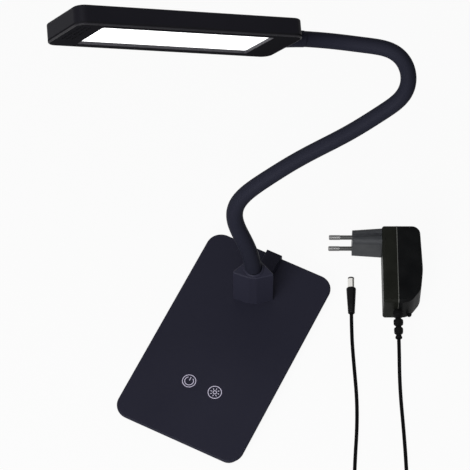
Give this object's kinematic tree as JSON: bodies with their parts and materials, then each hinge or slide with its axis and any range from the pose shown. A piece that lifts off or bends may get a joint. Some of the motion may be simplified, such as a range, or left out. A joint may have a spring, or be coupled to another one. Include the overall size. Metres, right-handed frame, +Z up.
{
  "type": "desk lamp",
  "caption": "Touch-controlled LED desk lamp: weighted plate, faceted neck socket, gooseneck and flat rectangular head, with its plug-in power supply and cord.",
  "frame": {"origin": "middle of the anti-slip pad's underside, on the surface that the lamp stands on", "axes": "+Z up, +Y towards the back edge with the power inlet, +X to the right as seen from the front edge"},
  "size_m": [0.3622, 0.2853, 0.3529],
  "materials": {
    "black_shell": "matte",
    "black_cover": "fine matte",
    "rubber_black": "matte",
    "silicone_black": "satin",
    "white_diffuser": "satin, lit from behind",
    "guide_clear": "clear",
    "reflector_white": "gloss",
    "spreader_alu": "bare",
    "steel_bare": "bare",
    "pin_nickel": "bright",
    "board_green": "coated",
    "emitter_yellow": "gloss",
    "transformer_core": "varnished",
    "cord_black": "satin",
    "insulator_black": "satin"
  },
  "bodies": {
    "base": {"anti_slip_pad": "rubber_black", "ballast_plate": "steel_bare", "base_cover": "black_cover", "base_pan": "black_shell", "base_screws": "steel_bare", "coil_tie": "cord_black", "cord_coil": "cord_black", "cord_run_plug": "cord_black", "cord_run_supply": "cord_black", "dc_jack": "black_shell", "dc_jack_pin": "pin_nickel", "foot_boot": "silicone_black", "foot_ferrule": "steel_bare", "mains_pins": "pin_nickel", "neck_core_0": "steel_bare", "neck_nut": "steel_bare", "neck_sleeve_0": "silicone_black", "neck_socket": "black_shell", "pin_sleeves": "insulator_black", "plug_barrel": "pin_nickel", "plug_collar": "black_shell", "plug_handle": "black_shell", "plug_insulator": "insulator_black", "socket_collar": "black_shell", "strain_relief": "rubber_black", "supply_back_shell": "black_shell", "supply_board": "board_green", "supply_capacitors": "insulator_black", "supply_front_shell": "black_shell", "supply_transformer": "transformer_core", "touch_board": "board_green", "touch_springs": "pin_nickel"},
    "neck_1": {"neck_core_1": "steel_bare", "neck_sleeve_1": "silicone_black"},
    "neck_2": {"neck_core_2": "steel_bare", "neck_sleeve_2": "silicone_black"},
    "neck_3": {"neck_core_3": "steel_bare", "neck_sleeve_3": "silicone_black"},
    "neck_4": {"neck_core_4": "steel_bare", "neck_sleeve_4": "silicone_black"},
    "neck_5": {"neck_core_5": "steel_bare", "neck_sleeve_5": "silicone_black"},
    "neck_6": {"neck_core_6": "steel_bare", "neck_sleeve_6": "silicone_black"},
    "neck_7": {"neck_core_7": "steel_bare", "neck_sleeve_7": "silicone_black"},
    "head": {"diffuser_panel": "white_diffuser", "head_boot": "silicone_black", "head_ferrule": "steel_bare", "head_frame": "black_shell", "head_shell": "black_shell", "heat_spreader": "spreader_alu", "led_emitters": "emitter_yellow", "led_strip": "board_green", "light_guide": "guide_clear", "neck_core_8": "steel_bare", "neck_sleeve_8": "silicone_black", "reflector_sheet": "reflector_white", "retaining_plate": "steel_bare", "spreader_screws": "steel_bare"}
  },
  "joints": [
    {"name": "neck_joint_1", "type": "hinge", "parent": "base", "child": "neck_1", "pos_m": [0, 0.052, 0.059], "axis": [1, 0, 0], "range_deg": [-25, 25]},
    {"name": "neck_joint_2", "type": "hinge", "parent": "neck_1", "child": "neck_2", "pos_m": [-0.0125, 0.0547, 0.10025], "axis": [0.8849, -0.1911, 0.4248], "range_deg": [-30, 30]},
    {"name": "neck_joint_3", "type": "hinge", "parent": "neck_2", "child": "neck_3", "pos_m": [-0.0078, 0.0758, 0.1454], "axis": [0.7305, -0.6829, 0], "range_deg": [-30, 30]},
    {"name": "neck_joint_4", "type": "hinge", "parent": "neck_3", "child": "neck_4", "pos_m": [0.02985, 0.11045, 0.17905], "axis": [-0.6221, 0.7829, 0], "range_deg": [-30, 30]},
    {"name": "neck_joint_5", "type": "hinge", "parent": "neck_4", "child": "neck_5", "pos_m": [0.0656, 0.14295, 0.2091], "axis": [-0.3698, -0.3928, 0.842], "range_deg": [-25, 25]},
    {"name": "neck_joint_6", "type": "hinge", "parent": "neck_5", "child": "neck_6", "pos_m": [0.07085, 0.1716, 0.22885], "axis": [0.7769, 0.6296, 0], "range_deg": [-25, 25]},
    {"name": "neck_joint_7", "type": "hinge", "parent": "neck_6", "child": "neck_7", "pos_m": [0.0349, 0.177, 0.23265], "axis": [-0.0593, -0.016, 0.9981], "range_deg": [-25, 25]},
    {"name": "neck_joint_8", "type": "hinge", "parent": "neck_7", "child": "head", "pos_m": [-0.00545, 0.15795, 0.23985], "axis": [0.6404, -0.768, 0], "range_deg": [-30, 30]}
  ]
}
